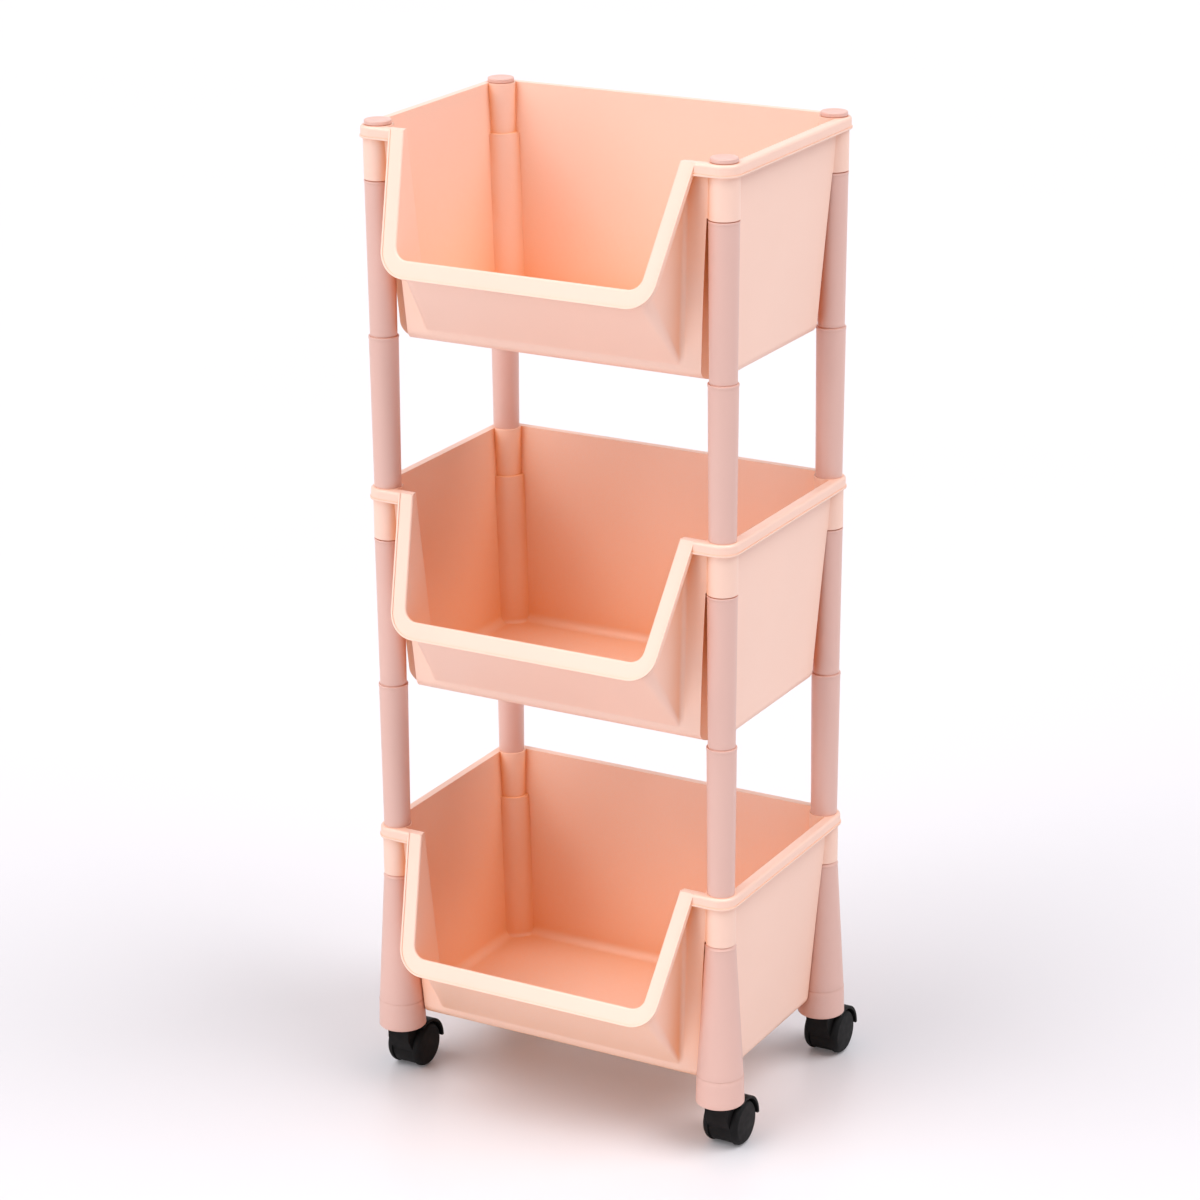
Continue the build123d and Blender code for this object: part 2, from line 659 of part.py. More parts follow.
def make_wheel():
    """Castor wheel turned about Z, its inner side at the wheel gap and its domed face outward."""
    inner = CORE_HALF_WIDTH + WHEEL_GAP
    bore = AXLE_RADIUS + RUNNING_CLEARANCE
    tread_edge = (WHEEL_RADIUS, WHEEL_TREAD_END)
    face_edge = (WHEEL_FACE_RADIUS, WHEEL_FACE_X)
    with BuildPart() as wheel:
        with BuildSketch(Plane.XZ):
            with BuildLine():
                Polyline(
                    (0, WHEEL_WEB_X),
                    (WHEEL_RIM_INNER_RADIUS, WHEEL_WEB_X),
                    (WHEEL_RIM_INNER_RADIUS, inner),
                    (WHEEL_RADIUS, inner),
                    tread_edge,
                )
                RadiusArc(tread_edge, face_edge, -WHEEL_ROUND_RADIUS)
                Polyline(
                    face_edge,
                    (WHEEL_FLAT_RADIUS, castor_half),
                    (0, castor_half),
                    (0, WHEEL_WEB_X),
                )
            make_face()
        revolve(axis=Axis.Z)
        with BuildSketch(Plane.XY.offset(inner)):
            Circle(WHEEL_HUB_RADIUS)
        extrude(amount=WHEEL_WEB_X - inner)
        with BuildSketch(Plane.XY.offset(inner)):
            Circle(bore)
        extrude(amount=AXLE_HALF_LENGTH + AXLE_END_GAP - inner, mode=Mode.SUBTRACT)
    return wheel.part


bin_part = make_bin()
tube_part = make_tube()
cap_part = make_cap()
leg_part = make_leg()
stem_part = make_stem()
body_part = make_castor_body()
axle_part = make_axle().rotate(Axis.Y, 90)
right_wheel_part = make_wheel().rotate(Axis.Y, 90)
left_wheel_part = make_wheel().rotate(Axis.Y, -90)

for tier, height in zip(TIER_NAMES, rim_heights):
    save(bin_part, f"bin_{tier}", z=height)
for corner, (x, y) in CORNERS.items():
    save(cap_part, f"cap_{corner}", x, y, rim_top)
    for number, height in enumerate(tube_heights, start=1):
        save(tube_part, f"tube_{corner}_{number}", x, y, height)
    save(leg_part, f"leg_{corner}", x, y)
    save(stem_part, f"castor_stem_{corner}", x, y)
    save(body_part, f"castor_body_{corner}", x, y)
    save(axle_part, f"castor_axle_{corner}", x, y + CASTOR_TRAIL, WHEEL_RADIUS)
    save(left_wheel_part, f"wheel_left_{corner}", x, y + CASTOR_TRAIL, WHEEL_RADIUS)
    save(right_wheel_part, f"wheel_right_{corner}", x, y + CASTOR_TRAIL, WHEEL_RADIUS)
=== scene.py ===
from math import pi, radians

import bmesh
import bpy
from mathutils import Matrix, Vector


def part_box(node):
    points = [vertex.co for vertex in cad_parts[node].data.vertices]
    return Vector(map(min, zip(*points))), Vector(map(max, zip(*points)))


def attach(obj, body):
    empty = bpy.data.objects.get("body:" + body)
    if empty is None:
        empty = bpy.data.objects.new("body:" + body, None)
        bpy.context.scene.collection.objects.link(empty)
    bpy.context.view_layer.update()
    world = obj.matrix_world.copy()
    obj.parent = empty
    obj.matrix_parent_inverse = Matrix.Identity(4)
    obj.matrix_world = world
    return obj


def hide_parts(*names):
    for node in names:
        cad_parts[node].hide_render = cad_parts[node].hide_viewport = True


bl_info = {
    "name": "Rolling storage cart",
    "version": (1, 0, 0),
    "blender": (4, 5, 0),
    "location": "View3D > Sidebar > Cart",
    "description": "Dresses the packed rolling storage cart with moulded detail and materials",
    "category": "Object",
}

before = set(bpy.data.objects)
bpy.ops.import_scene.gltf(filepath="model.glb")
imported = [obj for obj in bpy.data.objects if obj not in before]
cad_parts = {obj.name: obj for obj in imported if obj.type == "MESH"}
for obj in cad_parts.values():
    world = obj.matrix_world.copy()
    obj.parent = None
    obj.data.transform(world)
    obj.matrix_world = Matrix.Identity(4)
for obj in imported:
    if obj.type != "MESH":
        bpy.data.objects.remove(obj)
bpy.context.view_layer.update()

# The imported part's own names and places, in metres, seen from the front
TIERS = ("top", "middle", "bottom")
CORNERS = ("front_left", "front_right", "back_left", "back_right")
TUBES_PER_POLE = 4
MERGE_DISTANCE = 1e-6

# Angles between two faces, from which an edge stays crisp, from which it takes a bevel, and up to
# which it counts as flat
CRISP_ANGLE = radians(44)
BEVEL_ANGLE = radians(30)
FLAT_ANGLE = radians(1)

# Steps round a turned piece, and segments across each rounded edge
TURN_STEPS = 96
LIP_SEGMENTS = 3
FINE_SEGMENTS = 2
CAP_SEGMENTS = 5
BODY_SEGMENTS = 3
SHOULDER_SEGMENTS = 6
BEVEL_PROFILE = 0.5

# Noises of the materials, with scales in cycles per metre
PINK_CLOUDS = {"scale": 7.0, "detail": 3.0}
PINK_GLOSS = {"scale": 38.0, "detail": 4.0, "roughness": 0.6}
PINK_RIPPLE = {"scale": 55.0, "detail": 2.0}
PINK_SKIN = {"scale": 1500.0, "detail": 2.0}
BLACK_CLOUDS = {"scale": 60.0, "detail": 3.0}
BLACK_GLOSS = {"scale": 160.0, "detail": 3.0}
BLACK_GRAIN = {"scale": 2200.0, "detail": 3.0}
STEEL_CLOUDS = {"scale": 300.0, "detail": 2.0}
STEEL_MARKS = {"scale": 1.0, "detail": 2.0}
STEEL_STRETCH = (40.0, 40.0, 4000.0)
FLOOR_CLOUDS = {"scale": 1.2, "detail": 2.0}

# The part of a noise that is stretched onto the whole range
NOISE_LOW = 0.3
NOISE_HIGH = 0.7

# Bumps of the materials, with distances in metres
RIPPLE_BUMP = {"strength": 0.06, "distance": 0.0004}
SKIN_BUMP = {"strength": 0.05, "distance": 0.00006}
GRAIN_BUMP = {"strength": 0.25, "distance": 0.00008}
MARKS_BUMP = {"strength": 0.1, "distance": 0.00005}

# How far the colour (as a share) and the roughness of each material wander
PINK_SPREAD = 0.015
BLACK_SPREAD = 0.12
STEEL_SPREAD = 0.05
FLOOR_SPREAD = 0.006
PINK_WANDER = 0.035
BLACK_WANDER = 0.06
STEEL_WANDER = 0.08

PINK_IOR = 1.49
BLACK_IOR = 1.53
BLACK_SPECULAR = 0.12
FLOOR_ROUGHNESS = 0.38

# Shares of open air at which a hollow or a notch counts as closed and as clear, for the painted shade
# that deepens the colour there
HOLLOW_SHADE_SHARES = (0.05, 0.3)
NOTCH_SHADE_SHARES = (0.15, 0.7)
NODE_SAMPLES = 6

# Name, azimuth, elevation, strength, softness and tint of each lamp, with angles in degrees
LAMPS = (
    ("Left light", -40, 55, 1.45, 44, (1.0, 0.985, 0.965)),
    ("Right light", 98, 54, 1.75, 44, (1.0, 0.985, 0.98)),
    ("Front light", -20, 16, 0.75, 30, (1.0, 0.985, 0.965)),
    ("Top light", 10, 80, 0.35, 60, (1.0, 1.0, 1.0)),
)
SENSOR_WIDTH = 36.0
CLIP_END = 100.0


def length(name, text, value):
    """A size that a user may change, in metres."""
    return bpy.props.FloatProperty(
        name=name, description=text, default=value, min=0.0, precision=5, unit="LENGTH"
    )


def amount(name, text, value):
    """A plain number that a user may change."""
    return bpy.props.FloatProperty(name=name, description=text, default=value, min=0.0, precision=4)


def angle(name, text, degrees):
    """An angle that a user may change."""
    return bpy.props.FloatProperty(
        name=name, description=text, default=radians(degrees), subtype="ANGLE"
    )


def colour(name, text, value):
    """A linear colour that a user may change."""
    return bpy.props.FloatVectorProperty(
        name=name, description=text, default=value, subtype="COLOR", size=3, min=0.0, max=1.0
    )


class CartPoleSizes(bpy.types.PropertyGroup):
    """Sizes of the pole tubes and of the plug caps on top of them."""

    tube_length: length("Tube length", "Visible length of one tube", 0.132)
    foot_radius: length("Foot radius", "Radius of a tube just above its shoulder", 0.0115)
    head_radius: length("Head radius", "Radius of a tube just below its lip", 0.0125)
    lip_radius: length("Lip radius", "Radius of the ring at the top of a tube", 0.0128)
    lip_height: length("Lip height", "Height of the ring at the top of a tube", 0.003)
    spigot_radius: length("Spigot radius", "Radius of the plug below a tube or cap", 0.010)
    spigot_length: length("Spigot length", "Length of the plug below a tube or cap", 0.058)
    socket_radius: length("Socket radius", "Radius of the socket in the top of a tube", 0.0101)
    socket_depth: length("Socket depth", "Depth of the socket in the top of a tube", 0.062)
    bore_radius: length("Bore radius", "Radius of the hollow inside tubes and caps", 0.0085)
    cap_radius: length("Cap radius", "Radius of the disc of a plug cap", 0.0114)
    cap_height: length("Cap height", "Height of the disc of a plug cap", 0.004)
    cap_seam_height: length("Cap seam height", "Height of the shadow gap under the disc", 0.0006)
    cap_seam_depth: length("Cap seam depth", "Depth of the shadow gap under the disc", 0.0007)
    cap_dish_radius: length("Cap dish radius", "Radius of the dished centre of the disc", 0.0078)
    cap_dish_depth: length("Cap dish depth", "Depth of the dished centre of the disc", 0.00035)
    cap_rounding: length("Cap rounding", "Rounding of the disc's upper edge", 0.00105)
    lip_rounding: length("Lip rounding", "Rounding of the upper edge of a tube's ring", 0.0003)
    gap_height: length("Gap height", "Height of the shadow gap above a tube's ring", 0.0009)
    gap_radius: length("Gap radius", "Radius of the core seen in the shadow gap", 0.0112)
    edge_rounding: length("Edge rounding", "Rounding of the small moulded edges", 0.00012)


class CartCastorSizes(bpy.types.PropertyGroup):
    """Sizes of the castor wheels, from the middle of the castor outwards."""

    wheel_radius: length("Wheel radius", "Radius of the tread", 0.020)
    inner_side: length("Inner side", "Distance of the wheel's inner side from the middle", 0.0107)
    tread_end: length("Tread end", "Where the tread ends and the rounded shoulder starts", 0.0138)
    groove_radius: length("Groove radius", "Radius of the ring groove round the disc", 0.0166)
    groove_width: length("Groove width", "Width of the ring groove round the disc", 0.0005)
    groove_depth: length("Groove depth", "Depth of the ring groove round the disc", 0.0003)
    face_radius: length("Face radius", "Radius where the shoulder meets the disc", 0.0172)
    face_side: length("Face side", "Distance of the disc's edge from the middle", 0.0164)
    flat_radius: length("Flat radius", "Radius of the flat centre of the disc", 0.008)
    outer_side: length("Outer side", "Distance of the disc's centre from the middle", 0.0168)
    shoulder_rounding: length("Shoulder rounding", "Rounding between tread and disc", 0.0022)
    rim_inner_radius: length("Rim inner radius", "Radius of the hollow behind the disc", 0.0176)
    web_side: length("Web side", "Distance of the disc's back from the middle", 0.0139)
    hub_radius: length("Hub radius", "Radius of the hub round the axle", 0.005)
    bore_radius: length("Bore radius", "Radius of the hole for the axle", 0.00255)
    bore_end: length("Bore end", "Distance of the end of the axle hole from the middle", 0.0147)
    body_rounding: length("Body rounding", "Rounding of the edges of the castor body", 0.0006)


class CartFinishes(bpy.types.PropertyGroup):
    """Colours and textures of the moulded plastics and the steel, with painted shade deepening the pink
    in hollows.
    """

    bin_colour: colour("Bin colour", "Pale pink plastic of the bins", (0.94, 0.64, 0.53))
    # Painted shade: a deeper, more saturated pink mixed in where bin walls face each other, in place of
    # their shade and bounced light
    bin_painted_shade: colour("Bin depths", "The same plastic in the depths of a bin", (0.98, 0.43, 0.16))
    pole_colour: colour("Pole colour", "Pink plastic of tubes and legs", (0.75, 0.475, 0.415))
    # Painted shade on the tubes and legs beside a bin
    pole_painted_shade: colour("Pole depths", "The same plastic beside a bin", (0.70, 0.30, 0.19))
    # How far apart walls may stand for the painted shade to deepen their colour
    hollow_shade_reach: length("Hollow reach", "How far the walls of a bin warm each other", 0.5)
    notch_shade_reach: length("Notch reach", "How far the sides of a notch warm each other", 0.05)
    castor_colour: colour("Castor colour", "Black plastic of the castor bodies", (0.005, 0.0045, 0.0045))
    wheel_colour: colour("Wheel colour", "Black plastic of the wheels", (0.005, 0.0048, 0.005))
    steel_colour: colour("Steel colour", "Plated steel of stems and axles", (0.62, 0.63, 0.65))
    pink_roughness: amount("Pink roughness", "Roughness of the pink plastic", 0.38)
    black_roughness: amount("Black roughness", "Roughness of the black plastic", 0.55)
    steel_roughness: amount("Steel roughness", "Roughness of the steel", 0.3)
    edge_softness: length("Edge softness", "Rounding that the light sees on fine edges", 0.0005)


class CartStage(bpy.types.PropertyGroup):
    """Camera, floor and studio light."""

    camera_x: length("Camera X", "Camera position across the cart", 1.392311)
    camera_back: length("Camera back", "Distance of the camera in front of the cart", 2.513475)
    camera_z: length("Camera height", "Height of the camera above the floor", 1.453890)
    camera_azimuth: angle("Camera azimuth", "Turn of the camera round the cart", 29.0595)
    camera_elevation: angle("Camera elevation", "Angle of the camera above level", 19.3912)
    camera_roll: angle("Camera roll", "Turn of the camera about its own line of sight", -0.4227)
    camera_lens: amount("Camera lens", "Focal length in millimetres on a 36 mm sensor", 107.02)
    floor_size: length("Floor size", "Side of the square floor", 60.0)
    floor_colour: colour("Floor colour", "Pale floor", (0.74, 0.725, 0.765))
    background: colour("Background", "Pale background round the floor", (0.925, 0.91, 0.955))
    floor_lift: amount("Floor lift", "Light that only the camera sees on the floor", 0.06)
    world_light: amount("World light", "Strength of the even light from all round", 0.33)


def middle_of(node):
    """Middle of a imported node."""
    low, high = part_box(node)
    return (low + high) / 2


def bottom_of(node):
    """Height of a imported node's lowest point."""
    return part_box(node)[0].z


def top_of(node):
    """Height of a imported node's highest point."""
    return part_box(node)[1].z


def smooth_by_angle(mesh, limit):
    """Smooth shading, with the edges sharper than a limit kept crisp."""
    mesh.shade_smooth()
    mesh.set_sharp_from_angle(angle=limit)


def new_object(name, bm, material):
    """Turn a finished bmesh into an object of the scene at the origin."""
    mesh = bpy.data.meshes.new(name)
    bm.to_mesh(mesh)
    bm.free()
    mesh.materials.append(material)
    smooth_by_angle(mesh, CRISP_ANGLE)
    piece = bpy.data.objects.new(name, mesh)
    bpy.context.scene.collection.objects.link(piece)
    weighted = piece.modifiers.new("Even normals", "WEIGHTED_NORMAL")
    weighted.mode = "FACE_AREA"
    weighted.keep_sharp = True
    return piece


def spin_outline(bm, outline):
    """Turn a closed outline of (radius, height) points about the upright axis."""
    verts = [bm.verts.new((radius, 0.0, height)) for radius, height in outline]
    edges = [bm.edges.new(pair) for pair in zip(verts, verts[1:] + verts[:1])]
    bmesh.ops.spin(
        bm, geom=verts + edges, axis=(0, 0, 1), cent=(0, 0, 0), dvec=(0, 0, 0),
        angle=2 * pi, steps=TURN_STEPS, use_merge=True, use_duplicate=False,
    )
    bmesh.ops.remove_doubles(bm, verts=bm.verts, dist=MERGE_DISTANCE)
    bmesh.ops.recalc_face_normals(bm, faces=bm.faces)


def round_edges(bm, width, segments):
    """Bevel every edge that turns by more than the bevel angle."""
    sharp = [e for e in bm.edges if len(e.link_faces) == 2 and e.calc_face_angle() > BEVEL_ANGLE]
    bmesh.ops.bevel(
        bm, geom=sharp, offset=width, offset_type="OFFSET", affect="EDGES", segments=segments,
        profile=BEVEL_PROFILE, material=-1, clamp_overlap=True,
    )
    bmesh.ops.recalc_face_normals(bm, faces=bm.faces)


def round_ring(bm, radius, height, width, segments):
    """Bevel the one ring of edges at a radius and height of a turned piece."""
    ring = [
        e for e in bm.edges
        if all(abs(v.co.z - height) < MERGE_DISTANCE for v in e.verts)
        and all(abs(v.co.xy.length - radius) < MERGE_DISTANCE for v in e.verts)
    ]
    bmesh.ops.bevel(
        bm, geom=ring, offset=width, offset_type="OFFSET", affect="EDGES", segments=segments,
        profile=BEVEL_PROFILE, material=-1,
    )


def add_node(tree, kind, **settings):
    """Add a shader node and set its plain attributes."""
    node = tree.nodes.new(kind)
    for name, value in settings.items():
        setattr(node, name, value)
    return node


def start_material(name):
    """An empty node material with a Principled shader and Object coordinates."""
    material = bpy.data.materials.new(name)
    material.use_nodes = True
    tree = material.node_tree
    shader = tree.nodes["Principled BSDF"]
    coordinates = add_node(tree, "ShaderNodeTexCoord")
    return material, tree, shader, coordinates.outputs["Object"]


def noise(tree, place, scale, detail, roughness=0.5):
    """Noise at a scale, as a factor."""
    node = add_node(tree, "ShaderNodeTexNoise")
    node.inputs["Scale"].default_value = scale
    node.inputs["Detail"].default_value = detail
    node.inputs["Roughness"].default_value = roughness
    tree.links.new(place, node.inputs["Vector"])
    return node.outputs["Fac"]


def remap(tree, value, low, high):
    """Stretch the middle of a noise onto a range."""
    node = add_node(tree, "ShaderNodeMapRange")
    node.inputs["From Min"].default_value = NOISE_LOW
    node.inputs["From Max"].default_value = NOISE_HIGH
    node.inputs["To Min"].default_value = low
    node.inputs["To Max"].default_value = high
    tree.links.new(value, node.inputs["Value"])
    return node.outputs["Result"]


def shade_of(tree, value, base, spread):
    """Colour that wanders a little round a base colour."""
    node = add_node(tree, "ShaderNodeMix", data_type="RGBA")
    dark = [channel * (1 - spread) for channel in base]
    light = [min(1.0, channel * (1 + spread)) for channel in base]
    node.inputs["A"].default_value = (*dark, 1)
    node.inputs["B"].default_value = (*light, 1)
    tree.links.new(value, node.inputs["Factor"])
    return node.outputs["Result"]


def bump(tree, height, strength, distance, normal=None):
    """Bump from a height, on top of another normal."""
    node = add_node(tree, "ShaderNodeBump")
    node.inputs["Strength"].default_value = strength
    node.inputs["Distance"].default_value = distance
    tree.links.new(height, node.inputs["Height"])
    if normal is not None:
        tree.links.new(normal, node.inputs["Normal"])
    return node.outputs["Normal"]


def soft_edges(tree, radius):
    """Normal that rounds fine edges for the light."""
    node = add_node(tree, "ShaderNodeBevel", samples=NODE_SAMPLES)
    node.inputs["Radius"].default_value = radius
    return node.outputs["Normal"]


def openness(tree, reach, closed, clear):
    """How open a place is, from 0 at one share of open air to 1 at another; the mask of the painted
    shade.
    """
    open_air = add_node(tree, "ShaderNodeAmbientOcclusion", samples=NODE_SAMPLES)
    open_air.inputs["Distance"].default_value = reach
    share = add_node(tree, "ShaderNodeMapRange")
    share.inputs["From Min"].default_value = closed
    share.inputs["From Max"].default_value = clear
    tree.links.new(open_air.outputs["AO"], share.inputs["Value"])
    return share.outputs["Result"]


def painted_shade_in_hollows(tree, base, shade_colour, finishes):
    """Painted shade: mix of two colours, the deeper one where the walls of a hollow face each other and
    would shade and light each other.
    """
    both = add_node(tree, "ShaderNodeMath", operation="MULTIPLY")
    tree.links.new(openness(tree, finishes.hollow_shade_reach, *HOLLOW_SHADE_SHARES), both.inputs[0])
    tree.links.new(openness(tree, finishes.notch_shade_reach, *NOTCH_SHADE_SHARES), both.inputs[1])
    mix = add_node(tree, "ShaderNodeMix", data_type="RGBA")
    tree.links.new(both.outputs["Value"], mix.inputs["Factor"])
    mix.inputs["A"].default_value = (*shade_colour, 1)
    tree.links.new(base, mix.inputs["B"])
    return mix.outputs["Result"]


def moulded_plastic(name, base, shade_colour, roughness, finishes):
    """Satin moulded plastic: faint flow clouds, painted shade in hollows, uneven gloss and a very fine
    skin.
    """
    material, tree, shader, place = start_material(name)
    clouds = noise(tree, place, **PINK_CLOUDS)
    clouded = shade_of(tree, remap(tree, clouds, 0, 1), base, PINK_SPREAD)
    # Painted shade: the colour deepens where walls face each other
    with_painted_shade = painted_shade_in_hollows(tree, clouded, shade_colour, finishes)
    tree.links.new(with_painted_shade, shader.inputs["Base Color"])
    gloss = noise(tree, place, **PINK_GLOSS)
    rough = remap(tree, gloss, roughness - PINK_WANDER, roughness + PINK_WANDER)
    tree.links.new(rough, shader.inputs["Roughness"])
    ripples = noise(tree, place, **PINK_RIPPLE)
    rippled = bump(tree, ripples, **RIPPLE_BUMP, normal=soft_edges(tree, finishes.edge_softness))
    skin = bump(tree, noise(tree, place, **PINK_SKIN), **SKIN_BUMP, normal=rippled)
    tree.links.new(skin, shader.inputs["Normal"])
    shader.inputs["IOR"].default_value = PINK_IOR
    return material


def black_plastic(name, base, roughness, finishes):
    """Black nylon with a fine spark-eroded grain."""
    material, tree, shader, place = start_material(name)
    clouds = noise(tree, place, **BLACK_CLOUDS)
    clouded = shade_of(tree, remap(tree, clouds, 0, 1), base, BLACK_SPREAD)
    tree.links.new(clouded, shader.inputs["Base Color"])
    gloss = noise(tree, place, **BLACK_GLOSS)
    rough = remap(tree, gloss, roughness - BLACK_WANDER, roughness + BLACK_WANDER)
    tree.links.new(rough, shader.inputs["Roughness"])
    grains = noise(tree, place, **BLACK_GRAIN)
    grain = bump(tree, grains, **GRAIN_BUMP, normal=soft_edges(tree, finishes.edge_softness))
    tree.links.new(grain, shader.inputs["Normal"])
    shader.inputs["IOR"].default_value = BLACK_IOR
    shader.inputs["Specular IOR Level"].default_value = BLACK_SPECULAR
    return material


def plated_steel(name, base, roughness):
    """Zinc-plated steel with fine turning marks round the upright axis."""
    material, tree, shader, place = start_material(name)
    clouds = noise(tree, place, **STEEL_CLOUDS)
    clouded = shade_of(tree, remap(tree, clouds, 0, 1), base, STEEL_SPREAD)
    tree.links.new(clouded, shader.inputs["Base Color"])
    stretch = add_node(tree, "ShaderNodeMapping")
    stretch.inputs["Scale"].default_value = STEEL_STRETCH
    tree.links.new(place, stretch.inputs["Vector"])
    marks = noise(tree, stretch.outputs["Vector"], **STEEL_MARKS)
    rough = remap(tree, marks, roughness - STEEL_WANDER, roughness + STEEL_WANDER)
    tree.links.new(rough, shader.inputs["Roughness"])
    tree.links.new(bump(tree, marks, **MARKS_BUMP), shader.inputs["Normal"])
    shader.inputs["Metallic"].default_value = 1.0
    return material


def give_material(node_name, material):
    """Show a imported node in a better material, its shape untouched."""
    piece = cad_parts[node_name]
    for slot in piece.material_slots:
        slot.material = material


def material_named(name, build, *values):
    """Build a material the first time that it is asked for."""
    existing = bpy.data.materials.get(name)
    return existing or build(name, *values)


def pole_plastic(finishes):
    """The pink plastic that tubes, caps and legs share."""
    return material_named(
        "Pole plastic, satin pink", moulded_plastic, finishes.pole_colour, finishes.pole_painted_shade,
        finishes.pink_roughness, finishes,
    )


class CART_OT_bins(bpy.types.Operator):
    """Show the three bins in satin pink plastic"""

    bl_idname = "cart.bins"
    bl_label = "Bins"

    def execute(self, context):
        finishes = context.scene.cart_finishes
        plastic = material_named(
            "Bin plastic, satin pink", moulded_plastic, finishes.bin_colour, finishes.bin_painted_shade,
            finishes.pink_roughness, finishes,
        )
        for tier in TIERS:
            give_material(f"bin_{tier}", plastic)
        return {"FINISHED"}


class CART_OT_legs(bpy.types.Operator):
    """Cut the shadow gap at the top of the flared legs"""

    bl_idname = "cart.legs"
    bl_label = "Legs"

    def execute(self, context):
        sizes = context.scene.cart_poles
        plastic = pole_plastic(context.scene.cart_finishes)
        for corner in CORNERS:
            node = f"leg_{corner}"
            middle = middle_of(node)
            gap_bottom = top_of(node) - sizes.gap_height
            bm = bmesh.new()
            bm.from_mesh(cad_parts[node].data)
            bmesh.ops.remove_doubles(bm, verts=bm.verts, dist=MERGE_DISTANCE)
            top_ring = [
                v for v in bm.verts
                if v.co.z > gap_bottom
                and (v.co.xy - middle.xy).length > sizes.gap_radius
            ]
            narrower = sizes.gap_radius / sizes.lip_radius
            bmesh.ops.scale(
                bm, verts=top_ring, vec=(narrower, narrower, 1.0),
                space=Matrix.Translation((-middle.x, -middle.y, 0.0)),
            )
            piece = new_object(f"flared_leg_{corner}", bm, plastic)
            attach(piece, "frame")
            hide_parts(node)
        return {"FINISHED"}


class CART_OT_tubes(bpy.types.Operator):
    """Model the pole tubes, each with its lip, socket and spigot"""

    bl_idname = "cart.tubes"
    bl_label = "Pole tubes"

    def execute(self, context):
        sizes = context.scene.cart_poles
        plastic = pole_plastic(context.scene.cart_finishes)
        lip_bottom = sizes.tube_length - sizes.lip_height
        lip_top = sizes.tube_length - sizes.gap_height
        socket_bottom = sizes.tube_length - sizes.socket_depth
        outline = (
            (sizes.foot_radius, 0.0),
            (sizes.head_radius, lip_bottom),
            (sizes.lip_radius, lip_bottom),
            (sizes.lip_radius, lip_top),
            (sizes.gap_radius, lip_top),
            (sizes.gap_radius, sizes.tube_length),
            (sizes.socket_radius, sizes.tube_length),
            (sizes.socket_radius, socket_bottom),
            (sizes.bore_radius, socket_bottom),
            (sizes.bore_radius, -sizes.spigot_length),
            (sizes.spigot_radius, -sizes.spigot_length),
            (sizes.spigot_radius, 0.0),
        )
        for corner in CORNERS:
            for number in range(1, TUBES_PER_POLE + 1):
                node = f"tube_{corner}_{number}"
                middle = middle_of(node)
                bm = bmesh.new()
                spin_outline(bm, outline)
                round_ring(bm, sizes.lip_radius, lip_top, sizes.lip_rounding, LIP_SEGMENTS)
                round_edges(bm, sizes.edge_rounding, FINE_SEGMENTS)
                shoulder = (middle.x, middle.y, bottom_of(node) + sizes.spigot_length)
                bmesh.ops.translate(bm, verts=bm.verts, vec=shoulder)
                piece = new_object(f"pole_tube_{corner}_{number}", bm, plastic)
                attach(piece, "frame")
                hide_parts(node)
        return {"FINISHED"}


class CART_OT_caps(bpy.types.Operator):
    """Model the plug caps, each with a rounded and slightly dished disc"""

    bl_idname = "cart.caps"
    bl_label = "Plug caps"

    def execute(self, context):
        sizes = context.scene.cart_poles
        plastic = pole_plastic(context.scene.cart_finishes)
        seam_radius = sizes.cap_radius - sizes.cap_seam_depth
        crown = sizes.cap_height
        outline = (
            (0.0, crown - sizes.cap_dish_depth),
            (sizes.cap_dish_radius - 2 * sizes.cap_dish_depth, crown - sizes.cap_dish_depth),
            (sizes.cap_dish_radius, crown),
            (sizes.cap_radius, crown),
            (sizes.cap_radius, sizes.cap_seam_height),
            (seam_radius, sizes.cap_seam_height),
            (seam_radius, 0.0),
            (sizes.spigot_radius, 0.0),
            (sizes.spigot_radius, -sizes.spigot_length),
            (sizes.bore_radius, -sizes.spigot_length),
            (sizes.bore_radius, 0.0),
            (0.0, 0.0),
        )
        for corner in CORNERS:
            node = f"cap_{corner}"
            middle = middle_of(node)
            bm = bmesh.new()
            spin_outline(bm, outline)
            round_ring(bm, sizes.cap_radius, crown, sizes.cap_rounding, CAP_SEGMENTS)
            disc_bottom = (middle.x, middle.y, top_of(node) - crown)
            bmesh.ops.translate(bm, verts=bm.verts, vec=disc_bottom)
            piece = new_object(f"plug_cap_{corner}", bm, plastic)
            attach(piece, "frame")
            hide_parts(node)
        return {"FINISHED"}


class CART_OT_castor_bodies(bpy.types.Operator):
    """Round the edges of the black castor bodies"""

    bl_idname = "cart.castor_bodies"
    bl_label = "Castor bodies"

    def execute(self, context):
        sizes = context.scene.cart_castors
        finishes = context.scene.cart_finishes
        plastic = material_named(
            "Castor body plastic, black", black_plastic, finishes.castor_colour,
            finishes.black_roughness, finishes,
        )
        for corner in CORNERS:
            node = f"castor_body_{corner}"
            bm = bmesh.new()
            bm.from_mesh(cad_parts[node].data)
            bmesh.ops.remove_doubles(bm, verts=bm.verts, dist=MERGE_DISTANCE)
            bmesh.ops.dissolve_limit(bm, angle_limit=FLAT_ANGLE, verts=bm.verts, edges=bm.edges)
            round_edges(bm, sizes.body_rounding, BODY_SEGMENTS)
            piece = new_object(f"castor_hood_{corner}", bm, plastic)
            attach(piece, f"castor_{corner}")
            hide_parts(node)
        return {"FINISHED"}


